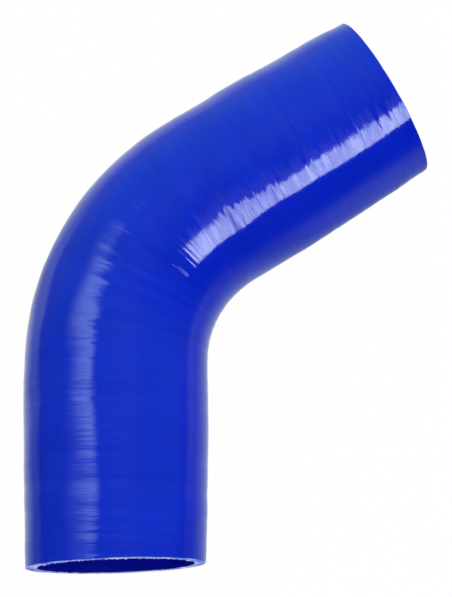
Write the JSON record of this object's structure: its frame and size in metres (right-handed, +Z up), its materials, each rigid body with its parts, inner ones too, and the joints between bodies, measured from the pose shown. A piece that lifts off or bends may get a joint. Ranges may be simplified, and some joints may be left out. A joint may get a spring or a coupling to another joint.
{
  "type": "silicone elbow hose",
  "caption": "Thick-walled silicone elbow hose with a 60 degree bend and two plain cut mouths, to join two pipe spigots of 76 mm.",
  "frame": {"origin": "on the surface the hose lies on, under the middle of its footprint", "axes": "+Z up, square to the plane of the bend; the inlet leg runs along -Y, and the outlet leg leaves 60 degrees from +Y towards +X"},
  "size_m": [0.193, 0.257, 0.086],
  "materials": {
    "silicone": "gloss"
  },
  "bodies": {
    "root": {"elbow_hose": "silicone"}
  },
  "joints": []
}
